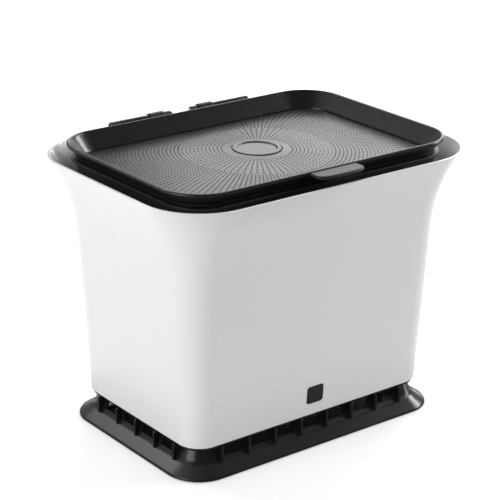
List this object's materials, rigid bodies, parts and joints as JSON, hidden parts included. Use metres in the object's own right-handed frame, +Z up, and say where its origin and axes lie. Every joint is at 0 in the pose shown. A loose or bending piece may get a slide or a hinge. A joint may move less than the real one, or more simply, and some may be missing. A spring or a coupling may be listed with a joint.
{
  "type": "kitchen compost bin",
  "caption": "Countertop kitchen compost bin: white flared bucket on a vented black base, hinged ring that holds the bag, and a hinged black lid with a perforated panel.",
  "frame": {"origin": "centre of the footprint, on the ground under the foot pads", "axes": "+X along the long side, to the right seen from the front; +Y from the front to the hinges at the back; +Z up"},
  "size_m": [0.3086, 0.2252, 0.2422],
  "materials": {
    "white_body": "glossy moulded plastic",
    "black_trim": "satin moulded plastic",
    "vent_black": "satin moulded plastic with fine perforation",
    "pad_rubber": "dull soft rubber",
    "bright_steel": "plain drawn steel"
  },
  "bodies": {
    "bin": {"outer_shell": "white_body", "front_badge": "black_trim", "base_plinth": "black_trim", "floor_grate": "black_trim", "base_screw_1": "bright_steel", "base_screw_2": "bright_steel", "base_screw_3": "bright_steel", "base_screw_4": "bright_steel", "foot_pad_1": "pad_rubber", "foot_pad_2": "pad_rubber", "foot_pad_3": "pad_rubber", "foot_pad_4": "pad_rubber", "collar": "black_trim", "hinge_pin_left": "bright_steel", "hinge_pin_right": "bright_steel"},
    "ring": {"bag_ring": "black_trim"},
    "lid": {"lid_tray": "black_trim", "vent_panel": "vent_black"}
  },
  "joints": [
    {"name": "ring_hinge", "type": "hinge", "parent": "bin", "child": "ring", "pos_m": [0, 0.1075, 0.237], "axis": [-1, 0, 0], "range_deg": [0, 55]},
    {"name": "lid_hinge", "type": "hinge", "parent": "ring", "child": "lid", "pos_m": [0, 0.1075, 0.237], "axis": [-1, 0, 0], "range_deg": [0, 100]}
  ]
}
